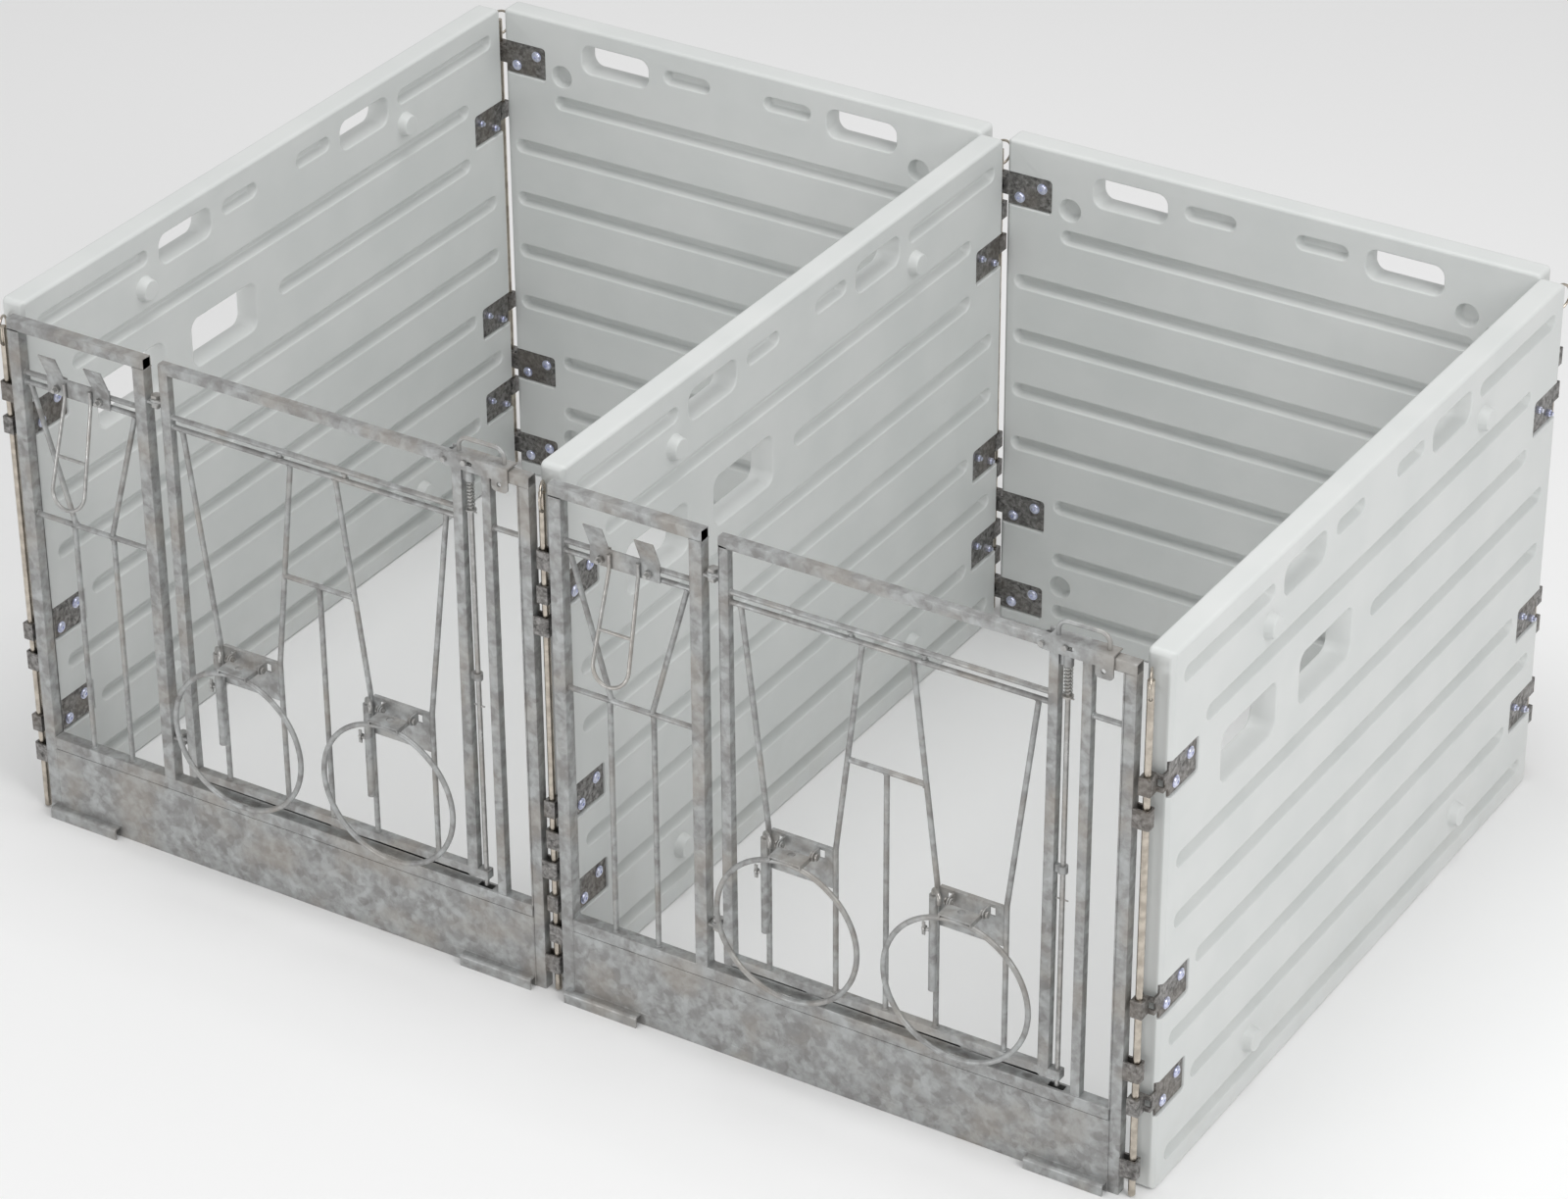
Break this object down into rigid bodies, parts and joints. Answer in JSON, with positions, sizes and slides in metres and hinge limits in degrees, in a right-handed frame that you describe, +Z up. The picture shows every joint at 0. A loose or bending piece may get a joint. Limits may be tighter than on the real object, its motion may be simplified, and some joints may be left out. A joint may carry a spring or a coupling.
{
  "type": "twin calf pen",
  "caption": "Roofless twin calf pen: grooved plastic side and rear panels pinned by upright rods to galvanised gates with feeding doors, swing-up bucket rings and bottle holders.",
  "frame": {"origin": "middle of the middle side panel's bottom face, on the floor", "axes": "+X to the right seen from the front, along the row of pens; -Y to the front, where the gates are; +Z up"},
  "size_m": [2.3945, 1.668, 1.0845],
  "materials": {
    "panel_plastic": "satin, rotationally moulded",
    "gate_zinc": "hot-dip galvanised, spangled",
    "bracket_zinc": "hot-dip galvanised, dull",
    "bright_steel": "stainless",
    "rod_zinc": "galvanised, smooth",
    "blue_zinc": "bright blue zinc plated",
    "spring_steel": "zinc plated"
  },
  "bodies": {
    "pen": {"backing_plates": "bracket_zinc", "bottle_clamps": "rod_zinc", "bottle_cradles": "rod_zinc", "bottle_plates": "gate_zinc", "door_hinge_bolts": "rod_zinc", "fixed_hinge_lugs": "gate_zinc", "gate_feet": "gate_zinc", "gate_knuckles": "bracket_zinc", "gate_left_bars": "gate_zinc", "gate_left_frame": "gate_zinc", "gate_right_bars": "gate_zinc", "gate_right_frame": "gate_zinc", "kick_plates": "gate_zinc", "panel_bolts": "blue_zinc", "panel_nuts": "blue_zinc", "rear_panel_brackets": "bracket_zinc", "rear_panel_left": "panel_plastic", "rear_panel_right": "panel_plastic", "side_panel_brackets": "bracket_zinc", "side_panel_left": "panel_plastic", "side_panel_middle": "panel_plastic", "side_panel_right": "panel_plastic"},
    "door_left": {"door_left_bars": "gate_zinc", "door_left_bucket_plates": "gate_zinc", "door_left_frame": "gate_zinc", "door_left_hinge_lugs": "gate_zinc", "door_left_keeper_tubes": "gate_zinc", "door_left_latch_guides": "gate_zinc", "door_left_pins_and_screws": "rod_zinc", "latch_left_spring": "spring_steel"},
    "latch_lever_left": {"latch_left_saddle": "gate_zinc"},
    "latch_bolt_left": {"latch_left_rod": "rod_zinc", "latch_left_rod_fittings": "rod_zinc"},
    "door_right": {"door_right_bars": "gate_zinc", "door_right_bucket_plates": "gate_zinc", "door_right_frame": "gate_zinc", "door_right_hinge_lugs": "gate_zinc", "door_right_keeper_tubes": "gate_zinc", "door_right_latch_guides": "gate_zinc", "door_right_pins_and_screws": "rod_zinc", "latch_right_spring": "spring_steel"},
    "latch_lever_right": {"latch_right_saddle": "gate_zinc"},
    "latch_bolt_right": {"latch_right_rod": "rod_zinc", "latch_right_rod_fittings": "rod_zinc"},
    "ring_1": {"bucket_ring_1": "gate_zinc"},
    "keeper_1": {"keeper_rod_1": "rod_zinc"},
    "ring_2": {"bucket_ring_2": "gate_zinc"},
    "keeper_2": {"keeper_rod_2": "rod_zinc"},
    "ring_3": {"bucket_ring_3": "gate_zinc"},
    "keeper_3": {"keeper_rod_3": "rod_zinc"},
    "ring_4": {"bucket_ring_4": "gate_zinc"},
    "keeper_4": {"keeper_rod_4": "rod_zinc"},
    "rod_front_left": {"hinge_rod_front_left": "bright_steel"},
    "rod_front_middle": {"hinge_rod_front_middle": "bright_steel"},
    "rod_front_right": {"hinge_rod_front_right": "bright_steel"},
    "rod_rear_left": {"hinge_rod_rear_left": "bright_steel"},
    "rod_rear_middle": {"hinge_rod_rear_middle": "bright_steel"},
    "rod_rear_right": {"hinge_rod_rear_right": "bright_steel"}
  },
  "joints": [
    {"name": "door_left_hinge", "type": "hinge", "parent": "pen", "child": "door_left", "pos_m": [-0.822, -0.7775, 0.6], "axis": [0, 0, -1], "range_deg": [0, 90]},
    {"name": "latch_left_lever_hinge", "type": "hinge", "parent": "door_left", "child": "latch_lever_left", "pos_m": [-0.1922, -0.7775, 1.0365], "axis": [0, -1, 0], "range_deg": [0, 25]},
    {"name": "latch_left_bolt_slide", "type": "slide", "parent": "door_left", "child": "latch_bolt_left", "axis": [0, 0, 1], "range_m": [0, 0.0205], "stiffness_N_per_m": 300, "springref_m": -0.02, "deforming": ["latch_left_spring"]},
    {"name": "door_right_hinge", "type": "hinge", "parent": "pen", "child": "door_right", "pos_m": [0.338, -0.7775, 0.6], "axis": [0, 0, -1], "range_deg": [0, 90]},
    {"name": "latch_right_lever_hinge", "type": "hinge", "parent": "door_right", "child": "latch_lever_right", "pos_m": [0.9678, -0.7775, 1.0365], "axis": [0, -1, 0], "range_deg": [0, 25]},
    {"name": "latch_right_bolt_slide", "type": "slide", "parent": "door_right", "child": "latch_bolt_right", "axis": [0, 0, 1], "range_m": [0, 0.0205], "stiffness_N_per_m": 300, "springref_m": -0.02, "deforming": ["latch_right_spring"]},
    {"name": "bucket_ring_1_hinge", "type": "hinge", "parent": "door_left", "child": "ring_1", "pos_m": [-0.65085, -0.7945, 0.483], "axis": [-1, 0, 0], "range_deg": [0, 90]},
    {"name": "keeper_1_slide", "type": "slide", "parent": "door_left", "child": "keeper_1", "axis": [0, 0, 1], "range_m": [0, 0.05]},
    {"name": "bucket_ring_2_hinge", "type": "hinge", "parent": "door_left", "child": "ring_2", "pos_m": [-0.31985, -0.7945, 0.483], "axis": [-1, 0, 0], "range_deg": [0, 90]},
    {"name": "keeper_2_slide", "type": "slide", "parent": "door_left", "child": "keeper_2", "axis": [0, 0, 1], "range_m": [0, 0.05]},
    {"name": "bucket_ring_3_hinge", "type": "hinge", "parent": "door_right", "child": "ring_3", "pos_m": [0.50915, -0.7945, 0.483], "axis": [-1, 0, 0], "range_deg": [0, 90]},
    {"name": "keeper_3_slide", "type": "slide", "parent": "door_right", "child": "keeper_3", "axis": [0, 0, 1], "range_m": [0, 0.05]},
    {"name": "bucket_ring_4_hinge", "type": "hinge", "parent": "door_right", "child": "ring_4", "pos_m": [0.84015, -0.7945, 0.483], "axis": [-1, 0, 0], "range_deg": [0, 90]},
    {"name": "keeper_4_slide", "type": "slide", "parent": "door_right", "child": "keeper_4", "axis": [0, 0, 1], "range_m": [0, 0.05]},
    {"name": "hinge_rod_front_left_slide", "type": "slide", "parent": "pen", "child": "rod_front_left", "axis": [0, 0, 1], "range_m": [0, 1]},
    {"name": "hinge_rod_front_middle_slide", "type": "slide", "parent": "pen", "child": "rod_front_middle", "axis": [0, 0, 1], "range_m": [0, 1]},
    {"name": "hinge_rod_front_right_slide", "type": "slide", "parent": "pen", "child": "rod_front_right", "axis": [0, 0, 1], "range_m": [0, 1]},
    {"name": "hinge_rod_rear_left_slide", "type": "slide", "parent": "pen", "child": "rod_rear_left", "axis": [0, 0, 1], "range_m": [0, 1]},
    {"name": "hinge_rod_rear_middle_slide", "type": "slide", "parent": "pen", "child": "rod_rear_middle", "axis": [0, 0, 1], "range_m": [0, 1]},
    {"name": "hinge_rod_rear_right_slide", "type": "slide", "parent": "pen", "child": "rod_rear_right", "axis": [0, 0, 1], "range_m": [0, 1]}
  ],
  "couplings": [
    {"joint": "latch_left_bolt_slide", "follows": "latch_left_lever_hinge", "m_per_rad": 0.04595},
    {"joint": "latch_right_bolt_slide", "follows": "latch_right_lever_hinge", "m_per_rad": 0.04595}
  ]
}
